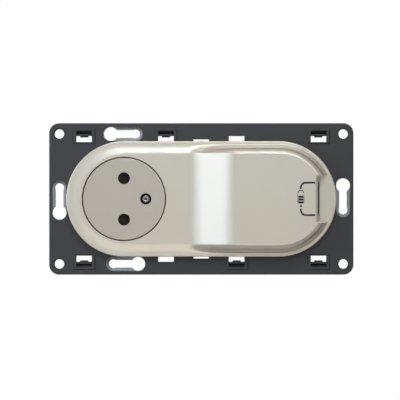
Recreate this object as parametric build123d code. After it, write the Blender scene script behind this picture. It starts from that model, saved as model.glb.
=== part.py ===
from build123d import *
import os

# Two-gang wall outlet: a flush disc that sinks under a plug, beside a raised USB charger.
# Frame: X to the right, Z up, Y into the wall, origin on the wall face midway between the gangs.
# A height counts from the wall face towards the front, so height h lies at Y = -h. Millimetres.

# Fixing to the wall
GANG_PITCH = 71.0
SCREW_SPAN = 60.0
SCREW_HOLE_R = 2.2
SCREW_HOLE_EDGE = 0.5
FRAME_END = 4.7
FRAME_SIDE = 4.95
FRAME_CORNER_R = 4.6
FRAME_T = 2.4
FRAME_EDGE_R = 0.5
STEEL_T = 1.0
STEEL_INSET = 0.8
STUD_R = 1.5
CUT_PAST = 1.0

# Keyhole slots: the opening in the frame and the narrower keyhole in the steel
SLOT_HEAD = 9.75
SLOT_SEAT = 8.5
SLOT_W = 6.5
KEY_HEAD_R = 3.2
KEY_HEAD_AT = 6.3
KEY_NECK_W = 3.5
KEY_SEAT_R = 2.05
KEY_SEAT_AT = 5.1

# Clip windows of the frame, measured from its centre
CATCH_X = 54.1
LEG_X = 16.3
WINDOW_W = 7.2
WINDOW_H = 2.8
WINDOW_OUT = 29.0
PAD_SIDE = 1.6
PAD_HEAD = 1.2
PAD_FOOT = 0.7
PAD_RISE = 0.5
PAD_EDGE = 0.3
CATCH_L = 2.5
CATCH_T = 0.9
CATCH_LIP = 0.85
CATCH_LIP_RISE = 2.0
CATCH_NOSE_W = 3.8
CATCH_NOSE = 0.6
LEG_SLOT_H = 4.4
LEG_SLOT_PROUD = 0.95

# Front cover
COVER_R = 26.55
COVER_WALL = 1.8
COLLAR_L = 1.0
RIM_RISE = 5.6
RIM_EDGE_R = 0.6
RIM_W = 1.4
FACE_RISE = 0.55
FACE_INSET = 6.1
PLATFORM_RISE = 10.6
LOW_FOOT_EASE = 0.55
LOW_FACE_EASE = 0.3
HIGH_FOOT_EASE = 0.35
HIGH_FACE_EASE = 0.75
RAMP_START = -6.4
RAMP_RUN = 23.4
RAMP_SECTIONS = 9
NOTCH_W = 21.6
NOTCH_DEPTH = 7.55
NOTCH_LEAN = 2.2
NOTCH_CORNER_R = 1.5
NOTCH_EDGE = 0.35
LEG_W = 5.6
LEG_T = 1.3
LEG_HOOK = 0.8
LEG_HOOK_H = 1.4

# Gang housings
WELL_R = 19.35
TUBE_WALL = 1.6
FLANGE_GAP = 0.7
FLANGE_T = 1.6
BODY_GAP = 0.35
LUG_W = 9.0
LUG_REACH = 1.4
LUG_H = 3.2
BASE_FLAT_DEPTH = 1.15
SPIGOT_H = 1.4
SPIGOT_T = 1.4
FIT_GAP = 0.1
PLAY = 0.3
REAR_T = 1.6
REAR_EDGE_R = 0.6

# Sinking disc and its shutter
DISC_GAP = 0.4
DISC_T = 2.4
DISC_RECESS = 0.7
DISC_TRAVEL = 15.0
DISC_EDGE_R = 0.35
SKIRT_L = 10.9
SKIRT_T = 1.4
SKIRT_ROOM = 2.0
PIN_PITCH = 19.0
PIN_HOLE_R = 2.75
EARTH_OFFSET = 10.0
EARTH_PIN_R = 2.4
EARTH_GAP = 0.2
EARTH_TIP_BELOW = 1.1
EARTH_DOME_R = 1.2
EARTH_DIMPLE_R = 0.85
EARTH_DIMPLE = 0.5
SHUTTER_W = 6.5
SHUTTER_T = 1.8
SHUTTER_MARGIN = 0.35
SHUTTER_TRAVEL = 6.25
RETAINER_GAP = 0.7
RETAINER_T = 1.2
POST_R = 1.7
POST_COUNT = 3
POST_EDGE = 0.1
STAKE_R = 1.0
RIB_T = 0.8
SPRING_GAP = 0.5
SPRING_WIRE = 1.0
SPRING_TURNS = 5
SPRING_PLAY = 0.1
SPRING_CLEAR = 0.6
LEAF_T = 0.3
LEAF_SPAN = 12.0
LEAF_INSET = 6.8
PEG_R = 0.6

# Contacts and terminals, laid out along a radius of their gang
STRIP_T = 0.7
STRIP_W = 5.0
STRIP_BEND_R = 0.55
CONTACT_L = 12.5
CONTACT_W = 6.0
CONTACT_GRIP = 2.2
CONTACT_FLARE = 0.7
TOWER_LID = 1.6
TOWER_CLEAR = 0.5
TAB_DEPTH = 4.8
TAB_L = 4.8
CAGE_MOUTH = 2.9
CAGE_W = 7.2
CAGE_H = 4.2
CAGE_WALL = 0.8
CAGE_CLEAR = 0.6
CLAMP_SCREW_R = 1.4
CLAMP_BITE = 0.6
CLAMP_HEAD_R = 2.3
EARTH_COLLAR_R = 3.6
EARTH_COLLAR_T = 1.3
EARTH_STEM_R = 1.6
COVER_SCREW_R = 1.3
COVER_SCREW_HEAD_R = 2.4
COVER_SCREW_HEAD_T = 1.4
COVER_SCREW_L = 6.0
COVER_SCREW_CROSS_L = 2.8
COVER_SCREW_CROSS_W = 0.6
COVER_SCREW_CROSS_T = 0.8
COVER_SCREW_DEPTH = 5.8
COVER_SCREW_SIDE = 8.7

# Charger
BOARD_T = 1.6
BOARD_INSET = 0.4
CHARGER_BASE_T = 8.0
USB_W = 13.1
USB_H = 5.9
USB_L = 14.0
USB_WALL = 0.35
USB_EDGE_R = 0.8
USB_LEG_L = 2.0
PORT_W = 15.4
PORT_H = 5.6
PORT_RAISE = 0.15
PORT_CORNER_R = 1.0
PORT_MOUTH_W = 12.5
PORT_MOUTH_H = 4.9
PORT_MOUTH_R = 0.4
PORT_SINK = 0.2
TONGUE_W = 11.1
TONGUE_T = 1.84
TONGUE_L = 8.4
TONGUE_SETBACK = 1.5
TONGUE_RAISE = 0.72
USB_STRIP_W = 1.0
USB_STRIP_T = 0.2
USB_STRIP_L = 6.5
USB_STRIP_AT = (-3.5, -1.0, 1.0, 3.5)
CORE_X = 8.0
CORE_Z = 17.0
CORE_H = 13.0
CORE_LIMB = 2.5
COIL_OUT = 2.5
CORE_AT = (-8.0, 0.0)
CAPACITOR_R = 4.0
CAPACITOR_L = 13.0
CAPACITOR_EDGE = 4.0
CAPACITOR_Z = 7.5

# Places and heights that follow from the sizes above
GANG_X = GANG_PITCH / 2
SCREW_X = (GANG_PITCH + SCREW_SPAN) / 2
SCREW_Z = SCREW_SPAN / 2
FRAME_W = 2 * (SCREW_X + FRAME_END)
FRAME_H = 2 * (SCREW_Z + FRAME_SIDE)
LEG_SLOT_OUT = COVER_R + LEG_SLOT_PROUD
NOTCH_FOOT = COVER_R - NOTCH_DEPTH
FLANGE_R = COVER_R - COVER_WALL - FLANGE_GAP
SEAT = STEEL_T + FRAME_T
RIM = SEAT + RIM_RISE
FACE = RIM + FACE_RISE
PLATFORM = RIM + PLATFORM_RISE
TUBE_R = WELL_R + TUBE_WALL
BASE_FLAT = TUBE_R - BASE_FLAT_DEPTH
TAB_AT = BASE_FLAT - TAB_DEPTH
COVER_SCREW_AT = BASE_FLAT - COVER_SCREW_DEPTH
DISC_R = WELL_R - DISC_GAP
SPRING_R = DISC_R - SKIRT_T - SPRING_GAP - SPRING_WIRE / 2
RETAINER_R = SPRING_R - SPRING_WIRE / 2 - RETAINER_GAP
LEAF_RISE = RETAINER_R - LEAF_INSET
COLLAR_END = FACE - COVER_WALL - COLLAR_L
DISC_FACE = FACE - DISC_RECESS
DISC_UNDER = DISC_FACE - DISC_T
SHUTTER_TOP = DISC_UNDER - PLAY
RETAINER_TOP = SHUTTER_TOP - SHUTTER_T - PLAY
RETAINER_END = RETAINER_TOP - RETAINER_T
BASE_TOP = DISC_FACE - SKIRT_L - DISC_TRAVEL - SKIRT_ROOM
TOWER_TOP = RETAINER_END - DISC_TRAVEL - TOWER_CLEAR
TOWER_R = SPRING_R - SPRING_WIRE / 2 - SPRING_CLEAR
CONTACT_TOP = TOWER_TOP - TOWER_LID - PLAY
CONTACT_END = CONTACT_TOP - CONTACT_L
SOCKET_END = CONTACT_END - TAB_L - CAGE_CLEAR
CHARGER_END = BASE_TOP - CHARGER_BASE_T
BOARD_TOP = RIM - COVER_WALL - PLAY
BOARD_SEAT = BOARD_TOP - BOARD_T
PORT_MID = RIM + PORT_RAISE + PORT_H / 2
CONTACT_AT = PIN_PITCH / 2
CONTACT_OUT = CONTACT_GRIP + CONTACT_FLARE + STRIP_T
USB_FRONT = NOTCH_FOOT - NOTCH_LEAN - COVER_WALL
LINE, NEUTRAL, EARTH = 90, -90, 0


def slab(sketch, low, high):
    """A sketch drawn in X and Z, extruded between two heights."""
    return extrude(Plane.XZ.offset(low) * sketch, high - low)


def block(x0, x1, z0, z1, low, high):
    """A box between two X values, two Z values and two heights."""
    size = Box(x1 - x0, high - low, z1 - z0)
    return Pos((x0 + x1) / 2, -(low + high) / 2, (z0 + z1) / 2) * size


def rod(x, z, radius, low, high):
    """A round bar along the height."""
    return slab(Pos(x, z) * Circle(radius), low, high)


def across(x):
    """Plane square to X: its own x runs along Z and its own y along the height."""
    return Plane(origin=(x, 0, 0), x_dir=(0, 0, 1), z_dir=(1, 0, 0))


def on_radius(shape, angle):
    """Turns what is laid out along +X to another radius of its gang; 90 degrees points up."""
    return Rot(0, -angle, 0) * shape


def to_gang(shape, side):
    """Moves a shape from the gang axis to the left (-1) or the right (+1) gang."""
    return Pos(side * GANG_X, 0, 0) * shape


def front_edges(shape):
    """Edges of the foremost face."""
    return shape.faces().sort_by(Axis.Y)[0].edges()


def rear_edges(shape):
    """Edges of the rearmost face."""
    return shape.faces().sort_by(Axis.Y)[-1].edges()


# Support frame and steel plate

def keyhole():
    """Keyhole drawn along X, with its round head on the left."""
    neck = Pos((KEY_SEAT_AT - KEY_HEAD_AT) / 2, 0) * Rectangle(KEY_HEAD_AT + KEY_SEAT_AT, KEY_NECK_W)
    head = Pos(-KEY_HEAD_AT, 0) * Circle(KEY_HEAD_R)
    return neck + head + Pos(KEY_SEAT_AT, 0) * Circle(KEY_SEAT_R)


def slot_opening():
    """Opening in the frame around a keyhole, a little longer than the keyhole at both ends."""
    return Pos((SLOT_SEAT - SLOT_HEAD) / 2, 0) * SlotOverall(SLOT_HEAD + SLOT_SEAT, SLOT_W)


def at_slots(sketch):
    """Copies a sketch drawn along X to the four slots: left, right, upper and lower."""
    upright = Rot(0, 0, 90) * sketch
    turned = Rot(0, 0, 180) * sketch
    return [
        Pos(-SCREW_X, 0) * upright,
        Pos(SCREW_X, 0) * Rot(0, 0, 180) * upright,
        Pos(-GANG_X, SCREW_Z) * sketch,
        Pos(-GANG_X, -SCREW_Z) * turned,
    ]


def turned_pair(shape, x):
    """A shape drawn for the upper edge at x, with its half-turn copy on the lower edge."""
    upper = Pos(x, 0, 0) * shape
    return [upper, Rot(0, 180, 0) * upper]


def at_catches(shape):
    """Copies a shape drawn for the upper edge to the six windows that have a catch."""
    return [copy for x in (-CATCH_X, -LEG_X, CATCH_X) for copy in turned_pair(shape, x)]


def screw_spots():
    return [(x, z) for x in (-SCREW_X, SCREW_X) for z in (-SCREW_Z, SCREW_Z)]


def screw_holes():
    return [Pos(x, z) * Circle(SCREW_HOLE_R) for x, z in screw_spots()]


def screw_lead(x, z):
    """Cone that eases the front edge of a screw hole."""
    cone = Rot(90, 0, 0) * Cone(SCREW_HOLE_R, SCREW_HOLE_R + SCREW_HOLE_EDGE, SCREW_HOLE_EDGE)
    return Pos(x, SCREW_HOLE_EDGE / 2 - SEAT, z) * cone


def studs(radius):
    """Rivet studs that hold the steel plate, between the screw holes and the gangs."""
    x = (SCREW_X + CATCH_X) / 2
    z = SCREW_Z / 2
    return [Pos(i * x, j * z) * Circle(radius) for i in (-1, 1) for j in (-1, 1)]


def leg_slots(low, high):
    """Openings for the legs of the cover: one pair on the middle line, one pair beside the catches."""
    middle = block(-WINDOW_W / 2, WINDOW_W / 2, LEG_SLOT_OUT - LEG_SLOT_H, LEG_SLOT_OUT, low, high)
    wide = block(-WINDOW_W / 2, WINDOW_W / 2, LEG_SLOT_OUT - LEG_SLOT_H, WINDOW_OUT, low, high)
    return turned_pair(middle, 0) + turned_pair(wide, LEG_X)


def catch_window(low, high):
    """What is cut out between two heights for one catch."""
    side = WINDOW_W / 2
    return block(-side, side, WINDOW_OUT - WINDOW_H, WINDOW_OUT + CATCH_L, low, high)


def window_pad():
    """Raised border around one window, with its front edges broken."""
    side = WINDOW_W / 2 + PAD_SIDE
    inner = WINDOW_OUT - WINDOW_H - PAD_FOOT
    outer = WINDOW_OUT + CATCH_L + PAD_HEAD
    pad = block(-side, side, inner, outer, SEAT, SEAT + PAD_RISE)
    return chamfer(front_edges(pad), PAD_EDGE)


def cover_seat():
    """Room for the foot of the cover on the frame."""
    reach = COVER_R + PLAY
    return slab(SlotOverall(GANG_PITCH + 2 * reach, 2 * reach), SEAT, SEAT + PAD_RISE)


def catch():
    """Tongue in a window: it dips from its root, turns up into a lip and ends in a narrower nose."""
    root = WINDOW_OUT + CATCH_L
    lip = CATCH_T + CATCH_LIP_RISE
    outline = Polyline(
        (root, STEEL_T), (root, STEEL_T + CATCH_T / 2),
        (WINDOW_OUT + 1.5 * CATCH_LIP, CATCH_T), (WINDOW_OUT + CATCH_LIP, lip), (WINDOW_OUT, lip),
        (WINDOW_OUT, 0), (WINDOW_OUT + CATCH_L / 2, 0),
        close=True,
    )
    tongue = extrude(across(-WINDOW_W / 2) * make_face(outline), WINDOW_W)
    nose = block(
        -CATCH_NOSE_W / 2, CATCH_NOSE_W / 2, WINDOW_OUT - CATCH_NOSE, WINDOW_OUT, 0, CATCH_T
    )
    return tongue + nose


def support_frame():
    frame = slab(RectangleRounded(FRAME_W, FRAME_H, FRAME_CORNER_R), STEEL_T, SEAT)
    frame = fillet(front_edges(frame), FRAME_EDGE_R)
    frame += at_catches(window_pad())
    frame -= cover_seat()
    holes = at_slots(slot_opening()) + screw_holes()
    holes += [Pos(side * GANG_X, 0) * Circle(TUBE_R + BODY_GAP) for side in (-1, 1)]
    frame -= [slab(hole, STEEL_T, SEAT) for hole in holes]
    frame -= [screw_lead(x, z) for x, z in screw_spots()]
    frame -= leg_slots(STEEL_T, SEAT)
    frame -= at_catches(catch_window(0, SEAT + PAD_RISE))
    frame += at_catches(catch())
    return frame + [slab(stud, 0, STEEL_T) for stud in studs(STUD_R)]


def fixing_plate():
    outline = RectangleRounded(
        FRAME_W - 2 * STEEL_INSET, FRAME_H - 2 * STEEL_INSET, FRAME_CORNER_R - STEEL_INSET
    )
    holes = at_slots(keyhole()) + screw_holes() + studs(STUD_R + FIT_GAP)
    holes += [Pos(side * GANG_X, 0) * Circle(TUBE_R + BODY_GAP) for side in (-1, 1)]
    plate = slab(outline, 0, STEEL_T) - [slab(hole, 0, STEEL_T) for hole in holes]
    return plate - at_catches(catch_window(0, STEEL_T)) - leg_slots(0, STEEL_T)


# Front cover

def cover_profile(inset, face):
    """Half section of the cover: skirt, rounded edge, narrow rim and the S-shaped wall up to its face.

    The wall eases out of the rim and rounds over into the face, more sharply at the rim and more
    roundly at the face the higher it is. Returns the edges, the half width at the foot and the half
    width of the face.
    """
    half = COVER_R - inset
    rim = RIM - inset
    shoulder = half - RIM_EDGE_R
    foot = half - RIM_W
    inner = half - FACE_INSET
    share = (face + inset - FACE) / (PLATFORM - FACE)
    foot_ease = (foot - inner) * (LOW_FOOT_EASE + share * (HIGH_FOOT_EASE - LOW_FOOT_EASE))
    face_ease = (foot - inner) * (LOW_FACE_EASE + share * (HIGH_FACE_EASE - LOW_FACE_EASE))
    skirt = Line((half, SEAT), (half, rim - RIM_EDGE_R))
    edge = CenterArc((shoulder, rim - RIM_EDGE_R), RIM_EDGE_R, 0, 90)
    flat = Line((shoulder, rim), (foot, rim))
    wall = Bezier((foot, rim), (foot - foot_ease, rim), (inner + face_ease, face), (inner, face))
    return [skirt, edge, flat, wall], half, inner


def cover_section(x, inset, face):
    """Full section of the cover at x."""
    edges, half, inner = cover_profile(inset, face)
    mirrored = [edge.mirror(Plane.YZ) for edge in edges]
    top = Line((inner, face), (-inner, face))
    foot = Line((-half, SEAT), (half, SEAT))
    return across(x) * make_face(edges + [top] + mirrored + [foot])


def cover_end(side, inset, face):
    """Half-round end of the cover, turned about its gang axis."""
    edges, half, inner = cover_profile(inset, face)
    top = Line((inner, face), (0, face))
    axis_line = Line((0, face), (0, SEAT))
    foot = Line((0, SEAT), (half, SEAT))
    section = across(side * GANG_X) * make_face(edges + [top, axis_line, foot])
    return revolve(section, Axis((side * GANG_X, 0, 0), (0, side, 0)), 180)


def ramp_face(share):
    """Height of the face at a share of the ramp, easing in and out."""
    return FACE + (PLATFORM - FACE) * share * share * (3 - 2 * share)


def cover_form(inset):
    """Outer form of the cover, or the hollow inside it when inset by the wall."""
    ramp_end = RAMP_START + RAMP_RUN
    low, high = FACE - inset, PLATFORM - inset
    shares = [i / (RAMP_SECTIONS - 1) for i in range(RAMP_SECTIONS)]
    ramp = loft([
        cover_section(RAMP_START + RAMP_RUN * share, inset, ramp_face(share) - inset) for share in shares
    ])
    left = extrude(cover_section(-GANG_X, inset, low), GANG_X + RAMP_START)
    right = extrude(cover_section(ramp_end, inset, high), GANG_X - ramp_end)
    form = cover_end(-1, inset, low) + left + ramp + right + cover_end(1, inset, high)
    return form - notch(inset)


def notch(inset):
    """Space cut out of the platform's end for a USB plug, with a leaning wall and round corners."""
    foot = GANG_X + NOTCH_FOOT - inset
    floor = RIM - inset
    beyond = GANG_X + COVER_R + CUT_PAST
    lean = NOTCH_LEAN / PLATFORM_RISE
    top = PLATFORM + CUT_PAST
    outline = Polyline(
        (foot, floor), (beyond, floor), (beyond, top), (foot - lean * (top - floor), top), close=True
    )
    half = NOTCH_W / 2 + inset
    side_on = Plane(origin=(0, 0, -half), x_dir=(1, 0, 0), z_dir=(0, 0, 1))
    flat = make_face(outline)
    tool = extrude(side_on * flat.mirror(Plane.XZ), 2 * half)
    corners = tool.edges().filter_by(lambda e: e.center().X < foot and abs(e.center().Z) > half / 2)
    return fillet(corners, NOTCH_CORNER_R)


def notch_lip():
    """Flare that breaks the front edge of the notch at the platform."""
    left = GANG_X + NOTCH_FOOT - NOTCH_LEAN
    beyond = GANG_X + COVER_R + CUT_PAST
    outline = Pos((left + beyond) / 2, 0) * RectangleRounded(beyond - left, NOTCH_W, NOTCH_CORNER_R)
    return extrude(Plane.XZ.offset(PLATFORM - NOTCH_EDGE) * outline, NOTCH_EDGE + FIT_GAP, taper=-45)


def port_bar(sketch, start):
    """A sketch centred on the port, extruded along X from a place on the gang to past the notch wall."""
    return extrude(across(GANG_X + start) * Pos(0, PORT_MID) * sketch, NOTCH_FOOT - start + CUT_PAST)


def port_opening():
    """Opening for the port through the leaning wall of the notch."""
    return port_bar(RectangleRounded(PORT_W, PORT_H, PORT_CORNER_R), USB_FRONT)


def cover_leg():
    """Snap leg behind the upper edge of the cover, with a hook behind the steel plate."""
    outer = COVER_R - COVER_WALL + LEG_T
    inner = LEG_SLOT_OUT - LEG_SLOT_H + PLAY
    end = -PLAY - LEG_HOOK_H
    leg = block(-LEG_W / 2, LEG_W / 2, inner, inner + LEG_T, end, RIM - COVER_WALL - RIM_EDGE_R)
    web = block(-LEG_W / 2, LEG_W / 2, inner, outer, SEAT, RIM - COVER_WALL - RIM_EDGE_R)
    hook = Polyline(
        (inner, -PLAY), (inner - LEG_HOOK - PLAY, -PLAY), (inner, end), close=True
    )
    return leg + web + extrude(across(-LEG_W / 2) * make_face(hook), LEG_W)


def front_cover():
    cover = cover_form(0) - notch_lip() - cover_form(COVER_WALL)
    collar = Circle(TUBE_R - FIT_GAP) - Circle(WELL_R)
    cover += to_gang(slab(collar, COLLAR_END, FACE - COVER_WALL), -1)
    cover -= to_gang(rod(0, 0, WELL_R, COLLAR_END, FACE), -1)
    cover -= port_opening()
    return cover + turned_pair(cover_leg(), 0) + turned_pair(cover_leg(), LEG_X)


# Gang housings

def gang_body(top):
    """Open tube with a flange on the frame and two snap lugs behind the steel plate."""
    tube = Circle(TUBE_R) - Circle(WELL_R)
    flange = Circle(FLANGE_R) - Circle(WELL_R)
    body = slab(tube, BASE_TOP, top) + slab(flange, SEAT, SEAT + FLANGE_T)
    root = TUBE_R - TUBE_WALL / 2
    tip = TUBE_R + LUG_REACH
    outline = Polyline(
        (root, 0), (tip, 0), (tip, -LUG_H / 4), (root, -LUG_H), close=True
    )
    lug = extrude(across(-LUG_W / 2) * make_face(outline), LUG_W)
    turned = Rot(0, 90, 0) * lug
    return body + turned + Rot(0, 180, 0) * turned


def base_outline():
    """Round housing with four flats."""
    return Circle(TUBE_R) & Rectangle(2 * BASE_FLAT, 2 * BASE_FLAT)


def spigot():
    """Ring that centres a base in its tube."""
    outer = WELL_R - FIT_GAP
    return slab(Circle(outer) - Circle(outer - SPIGOT_T), BASE_TOP, BASE_TOP + SPIGOT_H)


def terminal_chamber(end, ceiling):
    """Room for one cage, open to the rear, and the way in for its screw."""
    inner = TAB_AT - CAGE_WALL - PLAY
    outer = TAB_AT + CAGE_MOUTH + CAGE_WALL + PLAY
    side = CAGE_W / 2 + PLAY
    room = block(inner, outer, -side, side, end, ceiling)
    screw = across(TAB_AT) * Pos(0, cage_middle(end)) * Circle(CLAMP_HEAD_R + PLAY)
    return room + extrude(screw, TUBE_R - TAB_AT)


def cage_middle(end):
    """Height of a cage's middle in a base whose rear face is at end."""
    return end + CAGE_CLEAR + CAGE_H / 2


def screw_places():
    """Places of the rear cover's screws, clear of the terminals."""
    side = COVER_SCREW_SIDE
    return [(-COVER_SCREW_AT, 0), (side, -side), (side, side)]


def screw_pilots(end):
    return [rod(x, z, COVER_SCREW_R, end, end + COVER_SCREW_L) for x, z in screw_places()]


def contact_room():
    """Room for one contact along +X, open to the rear, with its guide hole for the pin."""
    half = CONTACT_W / 2 + PLAY
    side = CONTACT_OUT + PLAY
    room = block(CONTACT_AT - half, CONTACT_AT + half, -side, side, SOCKET_END, CONTACT_TOP + PLAY)
    way = block(CONTACT_AT, TAB_AT, -STRIP_W / 2 - PLAY, STRIP_W / 2 + PLAY, SOCKET_END, strip_top() + PLAY)
    return room + way + rod(CONTACT_AT, 0, PIN_HOLE_R + PLAY, CONTACT_TOP, TOWER_TOP)


def strip_top():
    """Height of the front face of the contact strips."""
    return CONTACT_END + STRIP_T


def earth_room():
    """Bore and rear pocket for the earth pin, its collar and its strap."""
    collar_top = strip_top() + EARTH_COLLAR_T
    bore = rod(EARTH_OFFSET, 0, EARTH_PIN_R + FIT_GAP, collar_top, TOWER_TOP)
    seat = rod(EARTH_OFFSET, 0, EARTH_COLLAR_R + PLAY, SOCKET_END, collar_top)
    start = EARTH_OFFSET - STRIP_W / 2 - PLAY
    way = block(start, TAB_AT, -STRIP_W / 2 - PLAY, STRIP_W / 2 + PLAY, SOCKET_END, strip_top() + PLAY)
    return bore + seat + way


def socket_base():
    base = slab(base_outline(), SOCKET_END, BASE_TOP) + spigot()
    base += slab(Circle(TOWER_R), BASE_TOP, TOWER_TOP)
    chamber = terminal_chamber(SOCKET_END, strip_top() + PLAY)
    base -= [on_radius(contact_room() + chamber, angle) for angle in (LINE, NEUTRAL)]
    base -= on_radius(earth_room() + chamber, EARTH)
    base -= screw_pilots(SOCKET_END)
    return to_gang(base, -1)


def charger_base():
    base = slab(base_outline(), CHARGER_END, BASE_TOP) + spigot()
    chamber = terminal_chamber(CHARGER_END, CHARGER_END + TAB_L + CAGE_CLEAR)
    slit = block(
        TAB_AT - FIT_GAP, TAB_AT + STRIP_T + FIT_GAP,
        -STRIP_W / 2 - FIT_GAP, STRIP_W / 2 + FIT_GAP,
        CHARGER_END, BASE_TOP,
    )
    base -= [on_radius(chamber + slit, angle) for angle in (LINE, NEUTRAL)]
    base -= screw_pilots(CHARGER_END)
    return to_gang(base, 1)


def rear_cover(end, angles, posts):
    """Plate that closes a base: wire mouths behind the cages, posts under the contacts, screw holes."""
    plate = slab(base_outline(), end - REAR_T, end)
    plate = fillet(rear_edges(plate), REAR_EDGE_R)
    half = CAGE_W / 2 - CAGE_WALL
    mouth = block(TAB_AT + STRIP_T, TAB_AT + CAGE_MOUTH, -half, half, end - REAR_T, end)
    plate -= [on_radius(mouth, angle) for angle in angles]
    plate -= [rod(x, z, COVER_SCREW_R + FIT_GAP, end - REAR_T, end) for x, z in screw_places()]
    return plate + [on_radius(post, angle) for post, angle in posts]


def socket_rear_cover():
    half = CONTACT_GRIP
    post = block(CONTACT_AT - half, CONTACT_AT + half, -half, half, SOCKET_END, CONTACT_END)
    posts = [(post, LINE), (post, NEUTRAL)]
    return to_gang(rear_cover(SOCKET_END, (LINE, NEUTRAL, EARTH), posts), -1)


def charger_rear_cover():
    return to_gang(rear_cover(CHARGER_END, (LINE, NEUTRAL), []), 1)


def cover_screw(x, z, end):
    """Screw of a rear cover, with a cross recess in its head."""
    shank = rod(x, z, COVER_SCREW_R, end - REAR_T, end + COVER_SCREW_L)
    head = rod(x, z, COVER_SCREW_HEAD_R, end - REAR_T - COVER_SCREW_HEAD_T, end - REAR_T)
    head = fillet(rear_edges(head), COVER_SCREW_HEAD_T / 3)
    long, thin = COVER_SCREW_CROSS_L / 2, COVER_SCREW_CROSS_W / 2
    back = end - REAR_T - COVER_SCREW_HEAD_T
    for half_x, half_z in ((long, thin), (thin, long)):
        head -= block(x - half_x, x + half_x, z - half_z, z + half_z, back, back + COVER_SCREW_CROSS_T)
    return shank + head


def cover_screws():
    rears = ((-1, SOCKET_END), (1, CHARGER_END))
    return [to_gang(cover_screw(x, z, end), side) for side, end in rears for x, z in screw_places()]


# Sinking disc

def post_places():
    """Posts under the disc that carry the shutter's retainer."""
    first = Vector(POST_R + POST_EDGE - RETAINER_R, 0)
    spots = [first.rotate(Axis.Z, turn * 360 / POST_COUNT) for turn in range(POST_COUNT)]
    return [(spot.X, spot.Y) for spot in spots]


def leaf_ends():
    """Where the two ends of the shutter's leaf spring rest."""
    x = leaf_tip() - LEAF_RISE - LEAF_T / 2 - PEG_R - FIT_GAP
    return [(x, -LEAF_SPAN / 2), (x, LEAF_SPAN / 2)]


def leaf_tip():
    """Where the leaf spring meets the shutter's edge."""
    return -SHUTTER_W / 2 - LEAF_T / 2 - FIT_GAP


def pin_holes(radius):
    return [Pos(0, side * PIN_PITCH / 2) * Circle(radius) for side in (-1, 1)]


def shutter_half():
    """Half length of the shutter, past the pin holes by a margin."""
    return PIN_PITCH / 2 + PIN_HOLE_R + SHUTTER_MARGIN


def socket_disc():
    face = slab(Circle(DISC_R), DISC_UNDER, DISC_FACE)
    face = fillet(front_edges(face), DISC_EDGE_R)
    skirt = slab(Circle(DISC_R) - Circle(DISC_R - SKIRT_T), DISC_FACE - SKIRT_L, DISC_UNDER)
    disc = face + skirt
    start = shutter_half() + PLAY
    ribs = Pos((SHUTTER_W / 2 - SHUTTER_TRAVEL) / 2, 0) * (
        Rectangle(SHUTTER_W / 2 + SHUTTER_TRAVEL, 2 * (start + RIB_T))
        - Rectangle(SHUTTER_W / 2 + SHUTTER_TRAVEL, 2 * start)
    )
    disc += slab(ribs & Circle(RETAINER_R), RETAINER_TOP, DISC_UNDER)
    disc += [rod(x, z, POST_R, RETAINER_TOP, DISC_UNDER) for x, z in post_places()]
    disc += [rod(x, z, STAKE_R, RETAINER_END, RETAINER_TOP) for x, z in post_places()]
    disc += [rod(x, z, PEG_R, RETAINER_TOP, DISC_UNDER) for x, z in leaf_ends()]
    holes = pin_holes(PIN_HOLE_R) + [Pos(EARTH_OFFSET, 0) * Circle(EARTH_PIN_R + EARTH_GAP)]
    disc -= [slab(hole, DISC_UNDER, DISC_FACE) for hole in holes]
    return to_gang(disc, -1)


def shutter():
    """Bar across both pin holes, with a ramp at each end that a pin pushes aside."""
    half = shutter_half()
    side = SHUTTER_W / 2
    low = SHUTTER_TOP - SHUTTER_T
    bar = block(-side, side, -half, half, low, SHUTTER_TOP)
    ramp = Polyline(
        (-side, SHUTTER_TOP), (side, SHUTTER_TOP), (side, low + SHUTTER_T / 3), close=True
    )
    start = PIN_PITCH / 2 - PIN_HOLE_R - SHUTTER_MARGIN
    upper = Plane(origin=(0, 0, start), x_dir=(1, 0, 0), z_dir=(0, 0, 1))
    wedge = extrude(upper * make_face(ramp).mirror(Plane.XZ), half - start)
    bar -= [wedge, wedge.mirror(Plane.XY)]
    return to_gang(bar, -1)


def shutter_spring():
    """Bowed leaf that pushes the shutter back over the pin holes."""
    tip = leaf_tip()
    foot = tip - LEAF_RISE
    bow = ThreePointArc((foot, -LEAF_SPAN / 2), (tip, 0), (foot, LEAF_SPAN / 2))
    return to_gang(slab(SlotArc(bow, LEAF_T), RETAINER_TOP + PLAY, SHUTTER_TOP), -1)


def shutter_retainer():
    plate = slab(Circle(RETAINER_R), RETAINER_END, RETAINER_TOP)
    holes = pin_holes(PIN_HOLE_R + FIT_GAP)
    holes.append(Pos(EARTH_OFFSET, 0) * Circle(EARTH_PIN_R + 2 * EARTH_GAP))
    holes += [Pos(x, z) * Circle(STAKE_R) for x, z in post_places()]
    return to_gang(plate - [slab(hole, RETAINER_END, RETAINER_TOP) for hole in holes], -1)


def disc_spring():
    """Coil of square wire between the base and the disc, around the contact tower."""
    rise = DISC_UNDER - BASE_TOP - SPRING_WIRE - 2 * SPRING_PLAY
    start = BASE_TOP + SPRING_WIRE / 2 + SPRING_PLAY
    path = Helix(rise / SPRING_TURNS, rise, SPRING_R, center=(0, -start, 0), direction=(0, -1, 0))
    wire = Plane(origin=path @ 0, z_dir=path % 0) * Rectangle(SPRING_WIRE, SPRING_WIRE)
    return to_gang(sweep(wire, path, is_frenet=True), -1)


# Contacts and terminals

def tab(width, low, high):
    """Upright end of a strip, held in its cage."""
    return block(TAB_AT, TAB_AT + STRIP_T, -width / 2, width / 2, low, high)


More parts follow.
